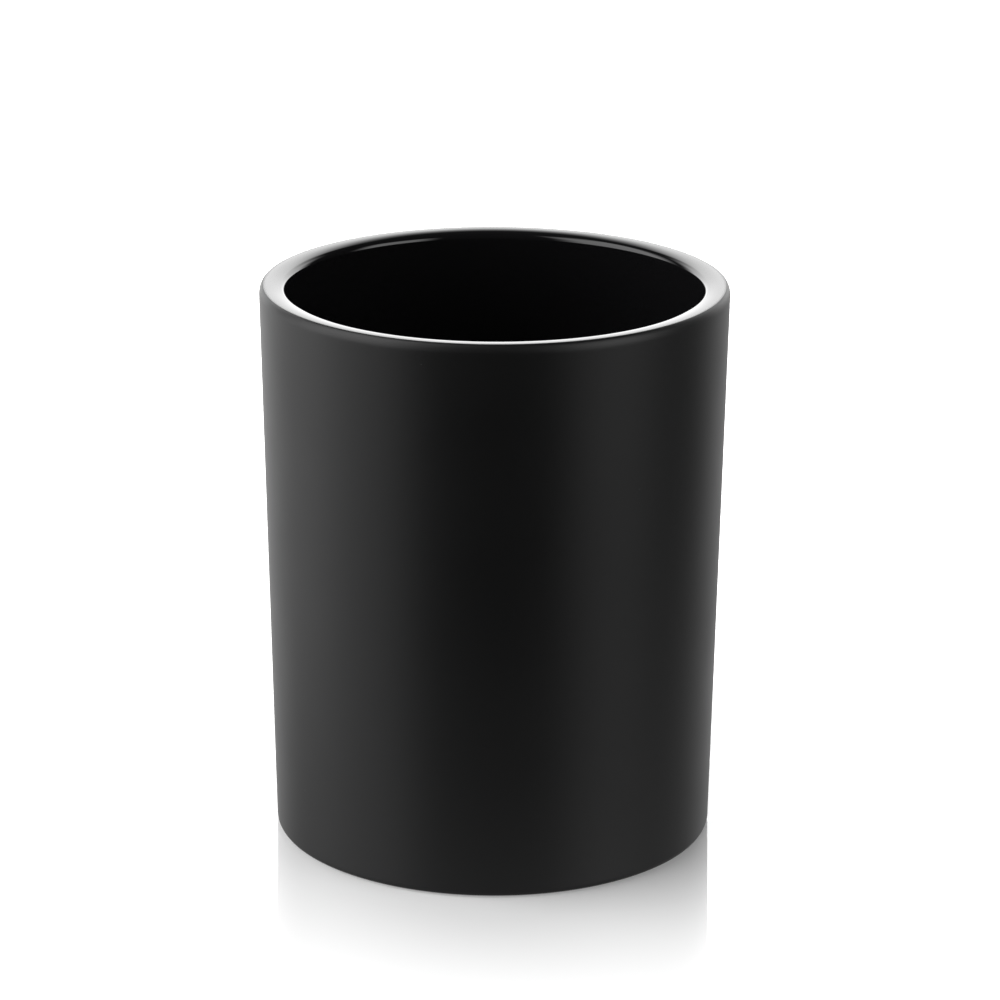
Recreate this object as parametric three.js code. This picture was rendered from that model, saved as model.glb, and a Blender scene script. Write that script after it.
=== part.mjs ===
// An empty candle jar: a thick, pressed glass tumbler, lacquered matt black outside.
//
// Millimetres, +Z up. The origin is the centre of the base, in the plane that the jar stands on.
// Every piece is turned about the Z axis, so each is one outline of [radius, height] points.
//
//   glass_body     the tumbler: outer wall, domed rim, bore, floor, bearing ring, pushed-up base
//   wall_lacquer   the matt skin over the heel, the wall and the rim's outer shoulder
//   base_lacquer   the matt skin over the pushed-up base, inside the bearing ring

import * as THREE from "three";

// ---- driving dimensions ------------------------------------------------------------------

const SEGMENTS = 72; // facets round the axis

// the jar's outside, over its lacquer
const HEIGHT = 97;
const TOP_RADIUS = 40; // where the wall meets the rim's shoulder
const BASE_RADIUS = 38; // where the wall meets the heel
const HEEL_RADIUS = 1.2;

// the fire-polished rim: a tight shoulder outside a narrow land, and a broad lip inside it
const LAND_INNER = 38.8;
const LAND_OUTER = 39.2;
const SHOULDER_DROP = 1.6; // height of the shoulder, a quarter ellipse
const CROWN_SLOPE = 15; // degrees: the lip's crown falls away to this slope
const ROLL_RADIUS = 1.1; // and then rolls over into the bore

// the bore
const MOUTH_RADIUS = 35.5;
const FLOOR_HEIGHT = 9;
const BORE_BASE_RADIUS = 33.1; // where the bore meets the floor's fillet
const FLOOR_FILLET = 6;

// the underside
const RING_OUTER = 36.5; // the bearing ring is the only flat that touches the table
const RING_INNER = 32.6;
const PUSH_UP_RADIUS = 31.6;
const PUSH_UP_EDGE = 1.0; // height of the pushed-up base at its edge
const PUSH_UP_CENTRE = 2.4; // and on the axis

// the lacquer: its thickness, and the clearance that keeps it a separate body from the glass
const FILM = 0.2;
const CLEARANCE = 0.1;
const COAT = FILM + CLEARANCE;
const HEEL_EDGE_HEIGHT = 0.35; // the wall's lacquer stops here, above the bearing ring
const BASE_EDGE_RADIUS = 31.0; // the base's lacquer stops here, inside the bearing ring
const RIM_EDGE_ANGLE = 76; // degrees round the shoulder, from the wall, where the lacquer stops
const BARE_RIM_ANGLE = 84; // and where the bare glass is back at its full height

// ---- outline helpers ---------------------------------------------------------------------

const radians = THREE.MathUtils.degToRad;

// Points along an ellipse's arc, from one angle to another in degrees. Zero points outward.
function arc([r, z], [radiusR, radiusZ], from, to, steps) {
  const points = [];
  for (let i = 0; i <= steps; i += 1) {
    const angle = radians(from + ((to - from) * i) / steps);
    points.push([r + radiusR * Math.cos(angle), z + radiusZ * Math.sin(angle)]);
  }
  return points;
}

// The heel's arc, moved in from the outside by `inset`, from its lower end up to the wall.
function heelArc(inset, lowestHeight, steps) {
  const radius = HEEL_RADIUS - inset;
  const lowest = Math.asin((HEEL_RADIUS - lowestHeight) / radius);
  const centre = [BASE_RADIUS - HEEL_RADIUS, HEEL_RADIUS];
  return arc(centre, [radius, radius], -THREE.MathUtils.radToDeg(lowest), 0, steps);
}

// The rim's outer shoulder, moved in by `inset`. Its angle is 0 at the wall and 90 at the land.
function shoulderArc(inset, from, to, steps) {
  const size = [TOP_RADIUS - LAND_OUTER - inset, SHOULDER_DROP - inset];
  return arc([LAND_OUTER, HEIGHT - SHOULDER_DROP], size, from, to, steps);
}

// The lip, from the land to the bore: a low crown, then a round roll.
function lip() {
  const slope = radians(CROWN_SLOPE);
  const reach = LAND_INNER - MOUTH_RADIUS - ROLL_RADIUS * (1 - Math.sin(slope));
  const bow = reach / Math.sin(slope);
  const crown = arc([LAND_INNER, HEIGHT - bow], [bow, bow], 90, 90 + CROWN_SLOPE, 2);
  const rollHeight = crown.at(-1)[1] - ROLL_RADIUS * Math.cos(slope);
  const rollCentre = [MOUTH_RADIUS + ROLL_RADIUS, rollHeight];
  const roll = arc(rollCentre, [ROLL_RADIUS, ROLL_RADIUS], 90 + CROWN_SLOPE, 180, 5);
  return [...crown, ...roll.slice(1)];
}

// Height of the pushed-up base at a radius: a shallow dome.
function pushUpHeight(radius) {
  const rise = PUSH_UP_CENTRE - PUSH_UP_EDGE;
  return PUSH_UP_CENTRE - rise * (radius / PUSH_UP_RADIUS) ** 2;
}

// The pushed-up base from its axis out to a radius, lowered by `drop`.
function pushUp(outerRadius, drop, steps) {
  const points = [];
  for (let i = 0; i <= steps; i += 1) {
    const radius = (outerRadius * i) / steps;
    points.push([radius, pushUpHeight(radius) - drop]);
  }
  return points;
}

// A closed body turned from its outline. Lathe turns about Y, so Y is then tipped up to Z.
function turned(name, outline, material) {
  const points = outline.map(([r, z]) => new THREE.Vector2(r, z));
  const geometry = new THREE.LatheGeometry(points, SEGMENTS);
  geometry.rotateX(Math.PI / 2);
  const mesh = new THREE.Mesh(geometry, material);
  mesh.name = name;
  return mesh;
}

// ---- materials ---------------------------------------------------------------------------

// Clear glass over black lacquer: the lacquer takes all the light, so the glass looks black.
const backedGlass = new THREE.MeshStandardMaterial({ color: 0x050506, roughness: 0.04, metalness: 0 });
const mattLacquer = new THREE.MeshStandardMaterial({ color: 0x161617, roughness: 0.5, metalness: 0 });

// ---- pieces ------------------------------------------------------------------------------

// From the middle of the underside, out and up the wall, over the rim and down the bore.
function glassBody() {
  const outline = [
    ...pushUp(PUSH_UP_RADIUS, 0, 5),
    [RING_INNER, 0],
    [RING_OUTER, 0],
    ...heelArc(COAT, HEEL_EDGE_HEIGHT, 3),
    ...shoulderArc(COAT, 0, RIM_EDGE_ANGLE, 4),
    ...shoulderArc(0, BARE_RIM_ANGLE, 90, 1),
    ...lip(),
    ...arc([BORE_BASE_RADIUS - FLOOR_FILLET, FLOOR_HEIGHT + FLOOR_FILLET],
      [FLOOR_FILLET, FLOOR_FILLET], 0, -90, 6),
    [0, FLOOR_HEIGHT],
  ];
  return turned("glass_body", outline, backedGlass);
}

// A thin closed skin: up its outer face, over its edge, down its inner face and back to the start.
function wallLacquer() {
  const face = (inset) => [
    ...heelArc(inset, HEEL_EDGE_HEIGHT, 4),
    ...shoulderArc(inset, 0, RIM_EDGE_ANGLE, 5),
  ];
  const outline = [...face(0), ...face(FILM).reverse(), face(0)[0]];
  return turned("wall_lacquer", outline, mattLacquer);
}

function baseLacquer() {
  const lower = pushUp(BASE_EDGE_RADIUS, COAT, 4);
  const upper = pushUp(BASE_EDGE_RADIUS, CLEARANCE, 4);
  return turned("base_lacquer", [...lower, ...upper.reverse()], mattLacquer);
}

// ---- the jar -----------------------------------------------------------------------------

const jar = new THREE.Group();
jar.name = "candle_jar";
jar.add(glassBody(), wallLacquer(), baseLacquer());

export default jar;
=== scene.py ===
# %% [markdown]
# # An empty candle jar in matt black lacquer
#
# The object is a thick pressed glass tumbler, sprayed matt black outside. The same black lacquer,
# seen through the glass, gives the bore and the inner half of the rim their deep gloss. There are
# three pieces: the glass, the lacquer on the wall and the lacquer on the base.
#
# Everything is in metres, +Z up, with the origin at the centre of the base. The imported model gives
# the sizes. Small sizes that its boxes can't give are named here in millimetres.

# %% Load the frame
import math

import bmesh
import bpy
from mathutils import Euler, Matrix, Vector


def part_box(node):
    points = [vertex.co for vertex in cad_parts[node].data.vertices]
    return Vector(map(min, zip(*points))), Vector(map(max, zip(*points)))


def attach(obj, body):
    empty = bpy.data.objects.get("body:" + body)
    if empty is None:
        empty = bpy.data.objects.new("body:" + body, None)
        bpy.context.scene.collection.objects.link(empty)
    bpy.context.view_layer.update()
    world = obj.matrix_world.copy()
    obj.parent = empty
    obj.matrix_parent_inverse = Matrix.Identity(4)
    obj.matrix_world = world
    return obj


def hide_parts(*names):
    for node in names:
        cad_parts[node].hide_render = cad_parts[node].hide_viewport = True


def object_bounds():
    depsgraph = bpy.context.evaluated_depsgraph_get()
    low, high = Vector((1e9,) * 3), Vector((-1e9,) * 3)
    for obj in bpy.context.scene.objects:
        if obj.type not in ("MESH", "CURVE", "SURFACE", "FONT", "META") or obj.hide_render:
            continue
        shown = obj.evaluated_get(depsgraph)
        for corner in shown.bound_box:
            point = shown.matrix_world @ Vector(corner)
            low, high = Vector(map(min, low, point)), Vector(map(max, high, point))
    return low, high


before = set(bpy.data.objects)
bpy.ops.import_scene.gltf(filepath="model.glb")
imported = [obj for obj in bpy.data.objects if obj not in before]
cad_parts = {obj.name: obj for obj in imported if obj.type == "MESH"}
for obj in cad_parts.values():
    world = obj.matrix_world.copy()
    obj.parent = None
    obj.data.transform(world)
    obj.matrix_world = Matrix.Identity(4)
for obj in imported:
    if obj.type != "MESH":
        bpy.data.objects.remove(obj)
cad_low, cad_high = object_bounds()
scene = bpy.context.scene
MM = 0.001
print("the model's box in mm:", [round(side / MM, 1) for side in cad_high - cad_low])

# %% [markdown]
# ## The camera
#
# A long lens looks down at the jar from a little under eighteen degrees, which shows the whole rim
# as a slim ellipse and keeps the walls' slight taper honest. The camera is tipped a quarter of a
# degree, as on a tripod that isn't quite level. It is placed before anything else, so that each
# later step can be judged in the frame.

# %% Camera
HEIGHT = cad_high.z
TOP_RADIUS = cad_high.x

LENS_MM = 146.1
PITCH = math.radians(17.76)  # how far the camera looks down
TILT = math.radians(0.26)  # how far it is tipped about its own axis
CAMERA_PLACE = Vector((0.0264, -16.69, 6.80)) * TOP_RADIUS


def make_camera():
    data = bpy.data.cameras.new("camera")
    data.lens = LENS_MM
    data.sensor_width = 36
    data.clip_start = 0.01
    data.clip_end = 20
    camera = bpy.data.objects.new("camera", data)
    scene.collection.objects.link(camera)
    ahead = Vector((0, math.cos(PITCH), -math.sin(PITCH)))
    camera.location = CAMERA_PLACE
    camera.rotation_mode = "QUATERNION"
    camera.rotation_quaternion = ahead.to_track_quat("-Z", "Y") @ Euler((0, 0, TILT)).to_quaternion()
    return camera


scene.camera = make_camera()
print("camera distance in m:", round(scene.camera.location.length, 3))

# %% [markdown]
# ## Two helpers for node trees
#
# Colours are chosen as sRGB hex values, the way a colour picker shows them, but shaders work in
# linear light, so one function converts them. One more function adds a node to a tree, with its
# settings and its links, so that each tree below reads as a list of what it does.

# %% Colour and node helpers


def linear(hex_colour, alpha=1.0):
    """An sRGB hex colour such as "#1A1A1B" as linear red, green, blue and alpha."""
    channels = [int(hex_colour[i : i + 2], 16) / 255 for i in (1, 3, 5)]
    curve = [c / 12.92 if c <= 0.04045 else ((c + 0.055) / 1.055) ** 2.4 for c in channels]
    return (*curve, alpha)


def add(tree, kind, inputs=None, **settings):
    """Adds a node. Each input is named or numbered, and is given a value or another node's socket."""
    made = tree.nodes.new(kind)
    for name, value in settings.items():
        setattr(made, name, value)
    for socket, value in (inputs or {}).items():
        if isinstance(value, bpy.types.NodeSocket):
            tree.links.new(value, made.inputs[socket])
        else:
            made.inputs[socket].default_value = value
    return made


# %% [markdown]
# ## Turning a body with Geometry Nodes
#
# The glass was pressed in a round mould and the lacquer follows it, so every piece is a solid of
# revolution: one outline, turned about the axis. A Screw modifier could do it, but a small node
# tree says the rule outright. It lays out a grid with one row for each point of the outline and
# one column for each facet, gives every grid point its outline point turned by the column's
# angle, and merges the seam and the poles. Edges that meet at a sharp angle stay sharp.

# %% The turning tree
SHARP_ANGLE = math.radians(32)
MERGE_DISTANCE = 0.5e-6  # half a thousandth of a millimetre


def turning_tree():
    tree = bpy.data.node_groups.new("turned_about_z", "GeometryNodeTree")
    for name, kind in (
        ("Outline", "NodeSocketGeometry"),
        ("Facets", "NodeSocketInt"),
        ("Finish", "NodeSocketMaterial"),
    ):
        tree.interface.new_socket(name=name, in_out="INPUT", socket_type=kind)
    tree.interface.new_socket(name="Body", in_out="OUTPUT", socket_type="NodeSocketGeometry")

    given = add(tree, "NodeGroupInput")
    outline, facets, finish = (given.outputs[n] for n in ("Outline", "Facets", "Finish"))
    size = add(tree, "GeometryNodeAttributeDomainSize", {"Geometry": outline})
    rows = size.outputs["Point Count"]
    columns = add(tree, "ShaderNodeMath", {0: facets, 1: 1.0}, operation="ADD").outputs[0]
    grid = add(tree, "GeometryNodeMeshGrid", {"Vertices X": columns, "Vertices Y": rows})

    index = add(tree, "GeometryNodeInputIndex").outputs[0]
    row = add(tree, "ShaderNodeMath", {0: index, 1: rows}, operation="MODULO").outputs[0]
    part = add(tree, "ShaderNodeMath", {0: index, 1: rows}, operation="DIVIDE").outputs[0]
    column = add(tree, "ShaderNodeMath", {0: part}, operation="FLOOR").outputs[0]
    step = add(tree, "ShaderNodeMath", {0: math.tau, 1: facets}, operation="DIVIDE").outputs[0]
    angle = add(tree, "ShaderNodeMath", {0: column, 1: step}, operation="MULTIPLY").outputs[0]
    place = add(tree, "GeometryNodeInputPosition").outputs[0]
    point = add(tree, "GeometryNodeSampleIndex",
                {"Geometry": outline, "Value": place, "Index": row}, data_type="FLOAT_VECTOR")
    turned = add(tree, "ShaderNodeVectorRotate",
                 {"Vector": point.outputs["Value"], "Angle": angle}, rotation_type="Z_AXIS")
    placed = add(tree, "GeometryNodeSetPosition",
                 {"Geometry": grid.outputs["Mesh"], "Position": turned.outputs[0]})
    closed = add(tree, "GeometryNodeMergeByDistance",
                 {"Geometry": placed.outputs[0], "Distance": MERGE_DISTANCE})

    smooth = add(tree, "GeometryNodeSetShadeSmooth",
                 {"Geometry": closed.outputs[0], "Shade Smooth": True}, domain="FACE")
    bend = add(tree, "GeometryNodeInputMeshEdgeAngle").outputs["Unsigned Angle"]
    sharp = add(tree, "FunctionNodeCompare", {0: bend, 1: SHARP_ANGLE}, operation="GREATER_THAN")
    edged = add(tree, "GeometryNodeSetShadeSmooth",
                {"Geometry": smooth.outputs[0], "Selection": sharp.outputs[0],
                 "Shade Smooth": False}, domain="EDGE")
    real = add(tree, "GeometryNodeRealizeInstances", {"Geometry": edged.outputs[0]})
    painted = add(tree, "GeometryNodeSetMaterial",
                  {"Geometry": real.outputs[0], "Material": finish})
    add(tree, "NodeGroupOutput", {"Body": painted.outputs[0]})
    return tree


TURNING = turning_tree()
print("turning tree nodes:", len(TURNING.nodes))

# %% [markdown]
# A tree only makes a mesh while its modifier is live. The finished piece should be a plain mesh, so
# the next helper gives the modifier its inputs, lets Blender evaluate it once, copies the result
# and removes the modifier. It also turns the faces outward, because a grid that is bent round an
# axis can come out either way round.

# %% From a tree to a plain mesh


def set_inputs(modifier, tree, values):
    """Sets a Geometry Nodes modifier's inputs. They are stored under identifiers, not names."""
    for item in tree.interface.items_tree:
        if item.in_out == "INPUT" and item.name in values:
            modifier[item.identifier] = values[item.name]


def made_plain(piece, tree, **values):
    """Runs the tree on a piece once, and leaves the piece with the mesh that it makes."""
    modifier = piece.modifiers.new("rule", "NODES")
    modifier.node_group = tree
    set_inputs(modifier, tree, values)
    evaluated = piece.evaluated_get(bpy.context.evaluated_depsgraph_get())
    mesh = bpy.data.meshes.new_from_object(evaluated)
    piece.modifiers.remove(modifier)
    piece.data = mesh
    mesh.name = piece.name
    return piece


def face_outward(piece):
    """Makes all faces agree, and point away from the solid."""
    work = bmesh.new()
    work.from_mesh(piece.data)
    bmesh.ops.recalc_face_normals(work, faces=work.faces)
    if work.calc_volume(signed=True) < 0:
        bmesh.ops.reverse_faces(work, faces=work.faces)
    open_edges = sum(1 for edge in work.edges if not edge.is_manifold)
    work.to_mesh(piece.data)
    work.free()
    return open_edges


def turned_piece(name, outline, finish, facets=256):
    """A piece turned from an outline of (radius, height) points in millimetres."""
    mesh = bpy.data.meshes.new(name)
    points = [(r * MM, 0, z * MM) for r, z in outline]
    mesh.from_pydata(points, [(i, i + 1) for i in range(len(points) - 1)], [])
    piece = bpy.data.objects.new(name, mesh)
    scene.collection.objects.link(piece)
    made_plain(piece, TURNING, Facets=facets, Finish=finish)
    open_edges = face_outward(piece)
    print(f"{name}: {len(piece.data.polygons)} faces, {open_edges} open edges")
    return piece

# %% [markdown]
# ## The jar's outline
#
# An outline is a list of (radius, height) points. Straight runs are split so that smooth shading
# has a row of points close to each end, and round stretches are arcs of an ellipse. The lacquer
# lies on the glass, so both outlines come from the same two arcs, the heel and the rim's shoulder,
# moved inward by the depth at which each surface lies.
#
# A sprayed film thins out towards its edge. Here the glass rises to meet the outside over the last
# part of each arc, so the film feathers away to almost nothing and leaves no step.

# %% Sizes in millimetres
height = HEIGHT / MM
top_radius = TOP_RADIUS / MM
base_radius = 38.0  # where the wall meets the heel
heel_radius = 1.2
land_inner, land_outer = 38.8, 39.2  # the narrow land on the rim's crest
shoulder_drop = 1.6  # the outer side of the dome, tight and steep
mouth_radius = 35.5
crown_slope = 15.0  # degrees: inside the land the lip falls away to this slope,
roll_radius = 1.1  # and then rolls over into the bore
bore_base_radius = 33.1
floor_thickness = 9.0
floor_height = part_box("glass_body")[0].z / MM + floor_thickness
floor_fillet = 6.0
ring_outer, ring_inner = 36.5, 32.6  # the bearing ring
push_up_radius = 31.6
push_up_edge, push_up_centre = 1.0, 2.4
film = 0.2  # the lacquer's thickness, many times the real one's, so that it is a solid
clearance = 0.02  # between the film and the glass
feather = 0.02  # what is left of the film at its edge
stipple_height = 0.12  # the bearing ring's stipples stand out this far

# %% Outline helpers


def smoothstep(low, high, value):
    """Rises smoothly from 0 at low to 1 at high."""
    t = min(max((value - low) / (high - low), 0.0), 1.0)
    return t * t * (3 - 2 * t)


def arc(centre, size, start, end, steps=14, inset=None):
    """Points on an ellipse's arc, from one angle to another in degrees. Zero points outward."""
    points = []
    for i in range(steps + 1):
        degrees = start + (end - start) * i / steps
        depth = inset(degrees) if inset else 0.0
        angle = math.radians(degrees)
        points.append((centre[0] + (size[0] - depth) * math.cos(angle),
                       centre[1] + (size[1] - depth) * math.sin(angle)))
    return points


def line(start, end, steps=24):
    """Points between two ends, which are left out. They crowd together towards both ends."""
    points = []
    for i in range(1, steps):
        t = (1 - math.cos(math.pi * i / steps)) / 2
        points.append((start[0] + (end[0] - start[0]) * t, start[1] + (end[1] - start[1]) * t))
    return points


# %% The heel and the shoulder, at any depth
HEEL_EDGE = -45.0  # degrees: the film ends here, above the bearing ring
SHOULDER_EDGE = 78.0  # and here, just short of the land
FEATHERED = 20.0  # degrees of arc over which it thins out


def film_depth(degrees):
    """How deep the glass lies below the jar's outside: the film's thickness at this angle."""
    at_heel = smoothstep(HEEL_EDGE, HEEL_EDGE + FEATHERED, degrees)
    at_rim = 1 - smoothstep(SHOULDER_EDGE - FEATHERED, SHOULDER_EDGE, degrees)
    return feather + (film - feather) * at_heel * at_rim


def heel(inset, start=HEEL_EDGE, steps=14):
    centre = (base_radius - heel_radius, heel_radius)
    return arc(centre, (heel_radius, heel_radius), start, 0, steps, inset)


def shoulder(inset, start=0.0, end=SHOULDER_EDGE, steps=16):
    centre = (land_outer, height - shoulder_drop)
    return arc(centre, (top_radius - land_outer, shoulder_drop), start, end, steps, inset)


def lip():
    """The lip's inner side, from the land to the bore: a low crown, then a round roll."""
    slope = math.radians(crown_slope)
    reach = land_inner - mouth_radius - roll_radius * (1 - math.sin(slope))
    bow = reach / math.sin(slope)
    crown = arc((land_inner, height - bow), (bow, bow), 90, 90 + crown_slope, 8)
    roll_height = crown[-1][1] - roll_radius * math.cos(slope)
    roll = arc((mouth_radius + roll_radius, roll_height), (roll_radius, roll_radius),
               90 + crown_slope, 180, 18)
    return crown + roll[1:]


def wall_side(inset):
    """The heel, the wall and the shoulder, from the film's lower edge to its upper edge."""
    low, high = heel(inset), shoulder(inset)
    return low + line(low[-1], high[0]) + high


def glass_surface(degrees):
    return film_depth(degrees) + clearance


print("film at mid wall and at its edges in mm:", film_depth(0), round(film_depth(SHOULDER_EDGE), 3))

# %% [markdown]
# ## Glass: soda-lime, pressed and fire-polished
#
# The jar is clear glass, but the lacquer behind it takes in all the light that gets through, and a
# sprayed film wets the glass so well that nothing is reflected where the two meet. So what the eye
# gets is a black surface under one sharp reflection. That is a nearly black base under the
# Principled shader's reflection at an IOR of 1.52. Real transmission would add a second reflection
# at the stand-in's clearance, which the real jar doesn't have.
#
# Pressed glass isn't quite flat: it carries long, low waves from the plunger, some 9 mm apart. They
# bend a reflection slightly and never show on their own. Fire-polishing melts the surface for a
# moment, so the roughness is next to nothing, apart from a faint haze of handling.
#
# Near the edge of the lacquer the rim isn't quite bare. Fine overspray settles on the last
# millimetre, so gloss turns to matt gradually there, with no hard line.

# %% Glass material
GLASS_BLACK = "#131314"
GLASS_IOR = 1.52
POLISHED, HAZY = 0.02, 0.05  # roughness of the cleanest glass, and of the most handled
GLASS_WAVE_MM, GLASS_WAVE_DEPTH_MM = 9.0, 0.02
HAZE_MM = 14.0
OVERSPRAY_ROUGHNESS = 0.42
OVERSPRAY_START, OVERSPRAY_FULL = 38.6, 39.6  # radii on the rim, in millimetres


def pattern_scale(size_mm):
    """A noise scale in object space whose features are about this many millimetres across."""
    return 1 / (size_mm * MM)


def shader_tree(name):
    """A new material's tree, its Principled shader and its object-space coordinates."""
    finish = bpy.data.materials.new(name)
    finish.use_nodes = True
    tree = finish.node_tree
    tree.nodes.clear()
    surface = add(tree, "ShaderNodeBsdfPrincipled")
    add(tree, "ShaderNodeOutputMaterial", {"Surface": surface.outputs[0]})
    place = add(tree, "ShaderNodeTexCoord").outputs["Object"]
    return finish, tree, surface, place


def glass_finish():
    finish, tree, surface, place = shader_tree("soda_lime_glass_fire_polished")
    surface.inputs["Base Color"].default_value = linear(GLASS_BLACK)
    surface.inputs["IOR"].default_value = GLASS_IOR
    haze = add(tree, "ShaderNodeTexNoise",
               {"Vector": place, "Scale": pattern_scale(HAZE_MM), "Detail": 3.0})
    polish = add(tree, "ShaderNodeMapRange",
                 {"Value": haze.outputs[0], "From Min": 0.35, "From Max": 0.7,
                  "To Min": POLISHED, "To Max": HAZY})
    flat = add(tree, "ShaderNodeVectorMath", {0: place, 1: (1, 1, 0)}, operation="MULTIPLY")
    radius = add(tree, "ShaderNodeVectorMath", {0: flat.outputs[0]}, operation="LENGTH")
    overspray = add(tree, "ShaderNodeMapRange",
                    {"Value": radius.outputs["Value"], "From Min": OVERSPRAY_START * MM,
                     "From Max": OVERSPRAY_FULL * MM, "To Max": OVERSPRAY_ROUGHNESS})
    rough = add(tree, "ShaderNodeMath", {0: polish.outputs[0], 1: overspray.outputs[0]},
                operation="ADD")
    tree.links.new(rough.outputs[0], surface.inputs["Roughness"])
    waves = add(tree, "ShaderNodeTexNoise",
                {"Vector": place, "Scale": pattern_scale(GLASS_WAVE_MM), "Detail": 0.0})
    bump = add(tree, "ShaderNodeBump",
               {"Height": waves.outputs[0], "Strength": 1.0,
                "Distance": GLASS_WAVE_DEPTH_MM * MM})
    tree.links.new(bump.outputs[0], surface.inputs["Normal"])
    return finish


GLASS = glass_finish()
print("made", GLASS.name)

# %% [markdown]
# ## Lacquer: acrylic, sprayed matt black
#
# A matt lacquer carries fine silica that breaks its skin into microscopic hills, so it scatters its
# reflection into a wide, soft sheen. Seen square on it is nearly black, and towards a silhouette
# it turns pale grey, because every surface reflects more at a glancing angle.
#
# Three things tell sprayed lacquer from moulded plastic. Droplets that flowed only partly together
# leave orange peel, about a millimetre across and very low. The silica makes a fine tooth, drawn at
# 0.22 mm because its real grains of a few microns are too fine to show. And a few motes of dust
# settle in the wet film: tiny raised nibs, a shade paler, one every square centimetre or so.

# %% Lacquer material
LACQUER_BLACK = "#0D0D0E"
NIB_GREY = "#5A5A5C"
LACQUER_IOR = 1.48
LEAST_MATT, MOST_MATT = 0.43, 0.47  # the lacquer's roughness
ORANGE_PEEL_MM, ORANGE_PEEL_DEPTH_MM = 1.1, 0.004
TOOTH_MM, TOOTH_DEPTH_MM = 0.22, 0.003
NIB_SPACING_MM, NIB_RADIUS_MM, NIB_HEIGHT_MM = 9.0, 0.11, 0.03
BLOTCH_MM = 22.0


def lacquer_finish():
    finish, tree, surface, place = shader_tree("acrylic_lacquer_sprayed_matt")
    surface.inputs["IOR"].default_value = LACQUER_IOR

    # dust nibs: the middle of each cell of a wide Voronoi pattern
    cells = add(tree, "ShaderNodeTexVoronoi",
                {"Vector": place, "Scale": pattern_scale(NIB_SPACING_MM), "Randomness": 1.0})
    reach = NIB_RADIUS_MM / NIB_SPACING_MM
    nib = add(tree, "ShaderNodeMapRange",
              {"Value": cells.outputs["Distance"], "From Min": 0.0, "From Max": reach,
               "To Min": 1.0, "To Max": 0.0}, interpolation_type="SMOOTHSTEP").outputs[0]
    colour = add(tree, "ShaderNodeMix",
                 {0: nib, 6: linear(LACQUER_BLACK), 7: linear(NIB_GREY)}, data_type="RGBA")
    tree.links.new(colour.outputs[2], surface.inputs["Base Color"])

    # how matt it is drifts a little from place to place with the spray gun's passes
    blotch = add(tree, "ShaderNodeTexNoise",
                 {"Vector": place, "Scale": pattern_scale(BLOTCH_MM), "Detail": 2.0})
    rough = add(tree, "ShaderNodeMapRange",
                {"Value": blotch.outputs[0], "From Min": 0.3, "From Max": 0.7,
                 "To Min": LEAST_MATT, "To Max": MOST_MATT})
    tree.links.new(rough.outputs[0], surface.inputs["Roughness"])

    # the heights, each in the units of its own bump
    peel = add(tree, "ShaderNodeTexNoise",
               {"Vector": place, "Scale": pattern_scale(ORANGE_PEEL_MM), "Detail": 1.0})
    peel_bump = add(tree, "ShaderNodeBump",
                    {"Height": peel.outputs[0], "Strength": 1.0,
                     "Distance": ORANGE_PEEL_DEPTH_MM * MM})
    tooth = add(tree, "ShaderNodeTexNoise",
                {"Vector": place, "Scale": pattern_scale(TOOTH_MM), "Detail": 1.0})
    tooth_bump = add(tree, "ShaderNodeBump",
                     {"Height": tooth.outputs[0], "Strength": 1.0,
                      "Distance": TOOTH_DEPTH_MM * MM, "Normal": peel_bump.outputs[0]})
    nib_bump = add(tree, "ShaderNodeBump",
                   {"Height": nib, "Strength": 1.0, "Distance": NIB_HEIGHT_MM * MM,
                    "Normal": tooth_bump.outputs[0]})
    tree.links.new(nib_bump.outputs[0], surface.inputs["Normal"])
    return finish


LACQUER = lacquer_finish()
print("made", LACQUER.name)

# %% [markdown]
# ## The glass body
#
# One outline goes from the middle of the underside, out over the bearing ring, up the wall, over
# the rim and down the bore to the middle of the floor. The base is pushed up into a shallow dome,
# so that the jar stands on a ring and can't rock.

# %% Glass body


def push_up_height(radius):
    rise = push_up_centre - push_up_edge
    return push_up_centre - rise * (radius / push_up_radius) ** 2


def push_up(outer_radius, drop, steps=12):
    """The pushed-up base, from the axis out to a radius, lowered by a drop that may vary."""
    radii = [outer_radius * i / steps for i in range(steps + 1)]
    return [(r, push_up_height(r) - drop(r)) for r in radii]


def glass_outline():
    ring_edge = 0.4  # the radius that softens the bearing ring's inner edge
    underside = push_up(push_up_radius, lambda r: 0.0)
    ring = arc((ring_inner, stipple_height + ring_edge), (ring_edge, ring_edge), 215, 270, 5)
    foot = math.degrees(math.asin(1 - stipple_height / heel_radius))
    toe = arc((base_radius - heel_radius, heel_radius), (heel_radius, heel_radius),
              -foot, HEEL_EDGE, 6, glass_surface)
    crest = shoulder(lambda degrees: 0.0, SHOULDER_EDGE + 2, 90, 4)
    rolled = lip()
    fillet = arc((bore_base_radius - floor_fillet, floor_height + floor_fillet),
                 (floor_fillet, floor_fillet), 0, -90, 14)
    floor = [(fillet[-1][0] * (1 - i / 6), floor_height) for i in range(1, 7)]
    return (underside + ring + toe + wall_side(glass_surface)[1:] + crest + rolled
            + line(rolled[-1], fillet[0]) + fillet + floor)


glass_body = turned_piece("glass_body.polished", glass_outline(), GLASS)
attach(glass_body, "root")
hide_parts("glass_body")

# %% [markdown]
# ## The lacquer on the wall
#
# The film is a thin closed shell. Its outside runs up the heel, the wall and the shoulder at the
# jar's full size, and its inside runs back down just above the glass. It stops short of the
# crest, because the jars are sprayed upside down on a spindle that masks the mouth.

# %% Wall lacquer


def closed(outer, inner):
    """A skin's outline: out along one face, back along the other, and closed."""
    return outer + inner[::-1] + outer[:1]


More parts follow.
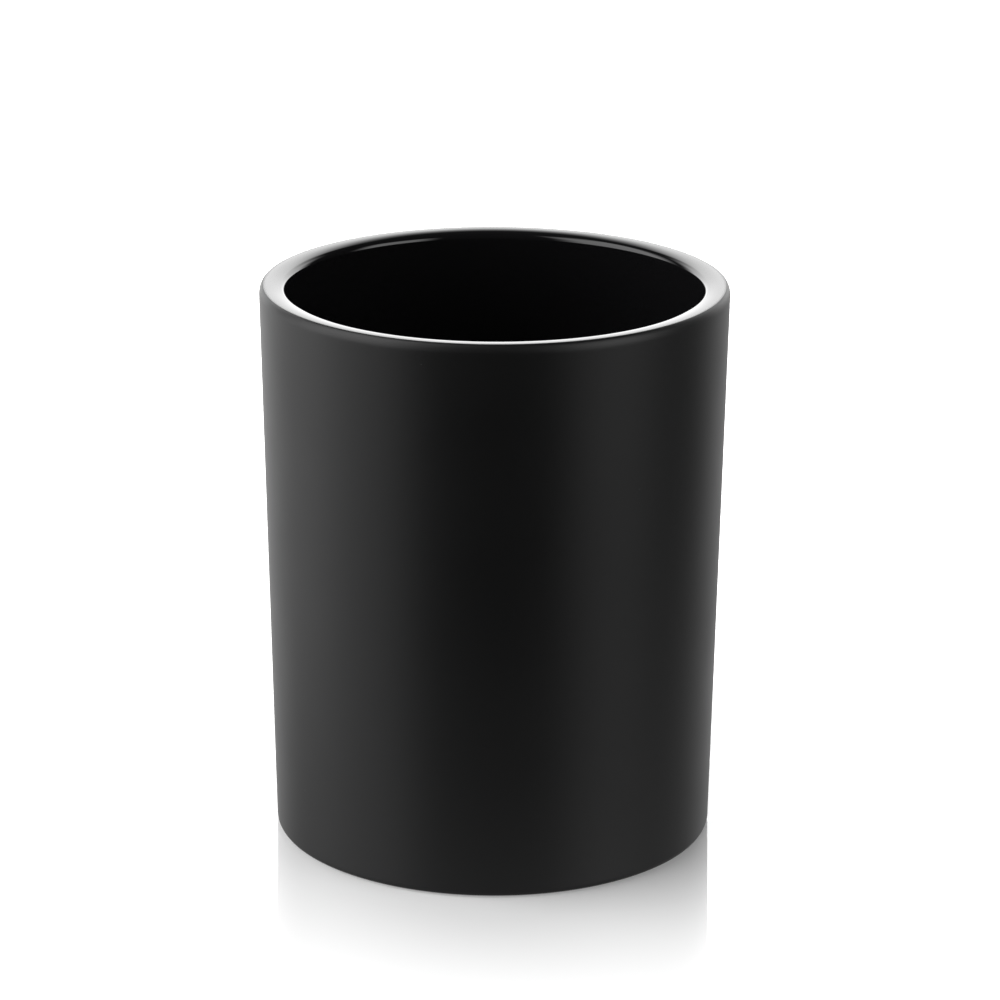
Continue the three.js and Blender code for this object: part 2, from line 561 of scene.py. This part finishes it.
wall_outline = closed(wall_side(lambda degrees: 0.0), wall_side(film_depth))
wall_lacquer = turned_piece("wall_lacquer.sprayed", wall_outline, LACQUER)
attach(wall_lacquer, "root")
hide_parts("wall_lacquer")

# %% [markdown]
# ## The lacquer on the base
#
# The gun also reaches the pushed-up base, which keeps the floor of the bore black. The bearing
# ring between the two films stays bare, because it is wiped so that it can't mark a table.

# %% Base lacquer
base_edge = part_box("base_lacquer")[1].x / MM
BASE_FEATHER = 1.5  # millimetres over which the film thins out


def base_film(radius):
    """The film's thickness at a radius. It feathers away towards its edge."""
    return feather + (film - feather) * (1 - smoothstep(base_edge - BASE_FEATHER, base_edge, radius))


base_lower = push_up(base_edge, lambda r: clearance + base_film(r), 24)
base_upper = push_up(base_edge, lambda r: clearance, 24)
base_lacquer = turned_piece("base_lacquer.sprayed", base_lower + base_upper[::-1], LACQUER)
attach(base_lacquer, "root")
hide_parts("base_lacquer")

# %% [markdown]
# ## Stipples on the bearing ring
#
# A hot jar would check and scuff if it stood on a smooth ring, so the mould leaves small
# rounded stipples there, and only their tops touch the table. There are several hundred alike, in
# staggered rows, which is what instancing is for. The tree makes one low dome, makes the rows as
# points turned about the axis, puts a dome on every point, and realizes them as mesh.

# %% The stipple tree
STIPPLE_ROWS = 5
STIPPLE_MM = 0.62  # across one stipple
STIPPLE_SUNK = 0.25  # the part of a dome's height that is sunk in the glass, so that it grows out


def stipple_tree():
    tree = bpy.data.node_groups.new("stippled_ring", "GeometryNodeTree")
    for name, kind in (
        ("Ring", "NodeSocketGeometry"),
        ("Rows", "NodeSocketInt"),
        ("Per Row", "NodeSocketInt"),
        ("Inner Radius", "NodeSocketFloat"),
        ("Row Spacing", "NodeSocketFloat"),
        ("Stipple Radius", "NodeSocketFloat"),
        ("Stipple Height", "NodeSocketFloat"),
        ("Finish", "NodeSocketMaterial"),
    ):
        tree.interface.new_socket(name=name, in_out="INPUT", socket_type=kind)
    tree.interface.new_socket(name="Stipples", in_out="OUTPUT", socket_type="NodeSocketGeometry")
    given = add(tree, "NodeGroupInput").outputs

    def maths(operation, first, second):
        return add(tree, "ShaderNodeMath", {0: first, 1: second}, operation=operation).outputs[0]

    # one point for each stipple: its row and its place in the row come from its index
    total = maths("MULTIPLY", given["Rows"], given["Per Row"])
    index = add(tree, "GeometryNodeInputIndex").outputs[0]
    row = maths("FLOOR", maths("DIVIDE", index, given["Per Row"]), 0.0)
    in_row = maths("MODULO", index, given["Per Row"])
    stagger = maths("MULTIPLY", maths("MODULO", row, 2.0), 0.5)
    turn = maths("DIVIDE", math.tau, given["Per Row"])
    angle = maths("MULTIPLY", maths("ADD", in_row, stagger), turn)
    radius = maths("ADD", given["Inner Radius"], maths("MULTIPLY", row, given["Row Spacing"]))
    spoke = add(tree, "ShaderNodeCombineXYZ", {"X": radius})
    place = add(tree, "ShaderNodeVectorRotate",
                {"Vector": spoke.outputs[0], "Angle": angle}, rotation_type="Z_AXIS")
    points = add(tree, "GeometryNodePoints", {"Count": total, "Position": place.outputs[0]})

    # one dome: a coarse sphere, flattened, with its lowest point on the table
    ball = add(tree, "GeometryNodeMeshUVSphere",
               {"Segments": 10, "Rings": 6, "Radius": given["Stipple Radius"]})
    squash = maths("DIVIDE", given["Stipple Height"], given["Stipple Radius"])
    flat = add(tree, "ShaderNodeCombineXYZ", {"X": 1.0, "Y": 1.0, "Z": squash})
    lift = add(tree, "ShaderNodeCombineXYZ", {"Z": given["Stipple Height"]})
    dome = add(tree, "GeometryNodeTransform",
               {"Geometry": ball.outputs["Mesh"], "Scale": flat.outputs[0],
                "Translation": lift.outputs[0]})
    copies = add(tree, "GeometryNodeInstanceOnPoints",
                 {"Points": points.outputs[0], "Instance": dome.outputs[0]})
    real = add(tree, "GeometryNodeRealizeInstances", {"Geometry": copies.outputs[0]})
    smooth = add(tree, "GeometryNodeSetShadeSmooth",
                 {"Geometry": real.outputs[0], "Shade Smooth": True}, domain="FACE")
    painted = add(tree, "GeometryNodeSetMaterial",
                  {"Geometry": smooth.outputs[0], "Material": given["Finish"]})
    add(tree, "NodeGroupOutput", {"Stipples": painted.outputs[0]})
    return tree


# %% Stipples
def stippled_ring():
    tree = stipple_tree()
    mesh = bpy.data.meshes.new("bearing_ring_stipples")
    piece = bpy.data.objects.new("glass_body.stipples", mesh)
    scene.collection.objects.link(piece)
    spacing = (ring_outer - ring_inner) / (STIPPLE_ROWS + 0.5)
    inner = ring_inner + spacing * 0.75
    per_row = int(math.tau * (ring_outer + ring_inner) / 2 / (STIPPLE_MM * 1.55))
    made_plain(piece, tree, **{
        "Rows": STIPPLE_ROWS, "Per Row": per_row, "Inner Radius": inner * MM,
        "Row Spacing": spacing * MM, "Stipple Radius": STIPPLE_MM / 2 * MM,
        "Stipple Height": stipple_height / (1 - STIPPLE_SUNK) * MM, "Finish": GLASS,
    })
    print("stipples:", STIPPLE_ROWS * per_row, "with", len(piece.data.polygons), "faces")
    return piece


stipples = stippled_ring()
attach(stipples, "root")
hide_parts("glass_body")
print("their lowest point in mm:", round(min(v.co.z for v in stipples.data.vertices) / MM, 4))

# %% [markdown]
# ## The floor
#
# The jar stands on a sheet of white gloss acrylic. It isn't part of the object. Its white runs into
# the backdrop, and its polished face gives back the jar's foot. Much of that white is painted light,
# a glow that the sheet emits, and close to the jar the glow fades out: a painted shadow of the jar.
#
# In the studio, black cards keep most of that white off the jar's front. Real cards would have to
# stand out of the picture, so here the sheet simply looks different to the camera and to the jar:
# the jar sees a dark gloss sheet, a painted shade, with a painted glow that is strongest at the left
# and dies away towards the front. It is a cheat of the stage only. The jar's own materials are the
# same to every ray.

# %% Floor
FLOOR_SIZE = 8.0
FLOOR_WHITE = "#F6F6F6"
FLOOR_ROUGHNESS, FLOOR_IOR = 0.02, 1.6
FLOOR_GAP_MM = 0.05  # it lies this far under the jar, so that no two faces coincide
# Painted light: the sheet emits a glow up to this strength. The glow fades out near the jar, which is
# a painted shadow.
FLOOR_PAINTED_LIGHT = 0.88
SHADE_PLACE = (0.010, 0.012, 0.0)  # the middle of the jar's shade: a little behind it, to the right
SHADE_INNER, SHADE_OUTER = 0.008, 0.118  # metres from there: the glow comes up between these
# What the jar sees of the floor: a dark sheet, which is painted shade, and a painted glow that is
# brighter at the left and fades out towards the front.
JAR_VIEW_ROUGHNESS, JAR_VIEW_IOR = 0.12, 1.5
PAINTED_GLOW_FOR_JAR = {"left": 0.90, "right": 0.16}
PAINTED_GLOW_SIDE = 0.2  # metres along X, to either side: the glow changes from left to right between these
PAINTED_SHADE_START, PAINTED_SHADE_END = 0.04, -0.14  # metres along Y: between these the painted glow fades out towards the front, a painted shade


def floor_finish():
    finish, tree, surface, place = shader_tree("acrylic_sheet_white_gloss_painted_light")
    surface.inputs["Base Color"].default_value = linear(FLOOR_WHITE)
    surface.inputs["Roughness"].default_value = FLOOR_ROUGHNESS
    surface.inputs["IOR"].default_value = FLOOR_IOR
    surface.inputs["Coat Weight"].default_value = 1.0
    surface.inputs["Coat Roughness"].default_value = FLOOR_ROUGHNESS
    surface.inputs["Emission Color"].default_value = linear("#FFFFFF")
    # painted shadow of the jar: the sheet's emitted glow is zero near the shade's middle and rises
    # outward
    off = add(tree, "ShaderNodeVectorMath", {0: place, 1: SHADE_PLACE}, operation="DISTANCE")
    painted_light_round_shadow = add(tree, "ShaderNodeMapRange",
                 {"Value": off.outputs["Value"], "From Min": SHADE_INNER, "From Max": SHADE_OUTER,
                  "To Max": FLOOR_PAINTED_LIGHT}, interpolation_type="SMOOTHSTEP")
    tree.links.new(painted_light_round_shadow.outputs[0], surface.inputs["Emission Strength"])

    # painted glow for the jar: brighter at the left, fading out towards the front, over a dark sheet
    # of painted shade
    axes = add(tree, "ShaderNodeSeparateXYZ", {0: place}).outputs
    sideways = add(tree, "ShaderNodeMapRange",
                   {"Value": axes["X"], "From Min": -PAINTED_GLOW_SIDE, "From Max": PAINTED_GLOW_SIDE,
                    "To Min": PAINTED_GLOW_FOR_JAR["left"], "To Max": PAINTED_GLOW_FOR_JAR["right"]})
    onward = add(tree, "ShaderNodeMapRange",
                 {"Value": axes["Y"], "From Min": PAINTED_SHADE_END, "From Max": PAINTED_SHADE_START})
    glow = add(tree, "ShaderNodeMath", {0: sideways.outputs[0], 1: onward.outputs[0]},
               operation="MULTIPLY")
    painted_floor_for_jar = add(tree, "ShaderNodeBsdfPrincipled",
                 {"Base Color": linear("#000000"), "Roughness": JAR_VIEW_ROUGHNESS,
                  "IOR": JAR_VIEW_IOR, "Emission Color": linear("#FFFFFF"),
                  "Emission Strength": glow.outputs[0]})
    ray = add(tree, "ShaderNodeLightPath").outputs["Is Camera Ray"]
    both = add(tree, "ShaderNodeMixShader",
               {0: ray, 1: painted_floor_for_jar.outputs[0], 2: surface.outputs[0]})
    tree.links.new(both.outputs[0], tree.nodes["Material Output"].inputs["Surface"])
    return finish


def make_floor():
    half = FLOOR_SIZE / 2
    corners = [(-half, -half, 0), (half, -half, 0), (half, half, 0), (-half, half, 0)]
    mesh = bpy.data.meshes.new("floor")
    mesh.from_pydata(corners, [], [(0, 1, 2, 3)])
    mesh.materials.append(floor_finish())
    floor = bpy.data.objects.new("floor", mesh)
    floor.location.z = cad_low.z - FLOOR_GAP_MM * MM
    scene.collection.objects.link(floor)
    return floor


floor = make_floor()
print("floor", FLOOR_SIZE, "m square")

# %% [markdown]
# ## Light
#
# The look of a black object is the look of what it reflects. A bright white backdrop low behind
# the jar gives the rim its line and the matt wall its pale edges. A tall softbox at the left and
# a narrower, weaker one at the right give the wall its two long glows and the far side of
# the lip its two thin arcs. The dark space behind the camera leaves the middle black.
#
# All of it is far away, so it is painted on the world as soft-edged panels. Each has the direction
# of its middle, its half size and the width of its soft edge, in degrees. Azimuth 0 is straight
# behind the jar and 90 is to the right. The camera itself sees plain white instead, and the panels
# stay where they are when the camera goes round, so the jar looks different from behind.

# %% Panels of light
PANELS = {
    "backdrop": {"azimuth": 2, "elevation": -20, "half_width": 37, "half_height": 40,
                 "side_fade": 20, "end_fade": 20, "strength": 2.7},
    "left_softbox": {"azimuth": -103, "elevation": 18, "half_width": 22, "half_height": 34,
                     "side_fade": 24, "end_fade": 22, "strength": 2.7},
    "right_softbox": {"azimuth": 120, "elevation": 12, "half_width": 11, "half_height": 20,
                      "side_fade": 19, "end_fade": 12, "strength": 2.4},
}
ROOM_LIGHT = 0.03  # what comes from everywhere else
SEEN_WHITE = 1.3  # over 1, so that the backdrop is pure white in the picture


def make_world():
    world = bpy.data.worlds.new("studio")
    scene.world = world
    world.use_nodes = True
    tree = world.node_tree
    tree.nodes.clear()

    def maths(operation, first, second=0.0):
        return add(tree, "ShaderNodeMath", {0: first, 1: second}, operation=operation).outputs[0]

    def near(value, middle, half_size, fade):
        """1 close to the middle, falling smoothly to 0 beyond the half size. In degrees."""
        off = maths("ABSOLUTE", maths("SUBTRACT", value, math.radians(middle)))
        start, end = math.radians(half_size), math.radians(half_size + fade)
        return add(tree, "ShaderNodeMapRange",
                   {"Value": off, "From Min": start, "From Max": end,
                    "To Min": 1.0, "To Max": 0.0}, interpolation_type="SMOOTHSTEP").outputs[0]

    direction = add(tree, "ShaderNodeTexCoord").outputs["Generated"]
    axes = add(tree, "ShaderNodeSeparateXYZ", {0: direction}).outputs
    azimuth = maths("ARCTAN2", axes["X"], axes["Y"])
    elevation = maths("ARCSINE", axes["Z"])
    total = ROOM_LIGHT
    for panel in PANELS.values():
        across = near(azimuth, panel["azimuth"], panel["half_width"], panel["side_fade"])
        upward = near(elevation, panel["elevation"], panel["half_height"], panel["end_fade"])
        shape = maths("MULTIPLY", across, upward)
        total = maths("ADD", total, maths("MULTIPLY", shape, panel["strength"]))
    lit = add(tree, "ShaderNodeBackground", {"Strength": total})
    seen = add(tree, "ShaderNodeBackground", {"Strength": SEEN_WHITE})
    for shader in (lit, seen):
        shader.inputs["Color"].default_value = linear("#FFFFFF")
    ray = add(tree, "ShaderNodeLightPath").outputs["Is Camera Ray"]
    both = add(tree, "ShaderNodeMixShader", {0: ray, 1: lit.outputs[0], 2: seen.outputs[0]})
    add(tree, "ShaderNodeOutputWorld", {"Surface": both.outputs[0]})


make_world()
scene.view_settings.view_transform = "Standard"
print("panels of light:", ", ".join(PANELS))

# %% [markdown]
# ## The last update
#
# The view layer is updated once more, so that every piece is in place.

# %% Finish
bpy.context.view_layer.update()
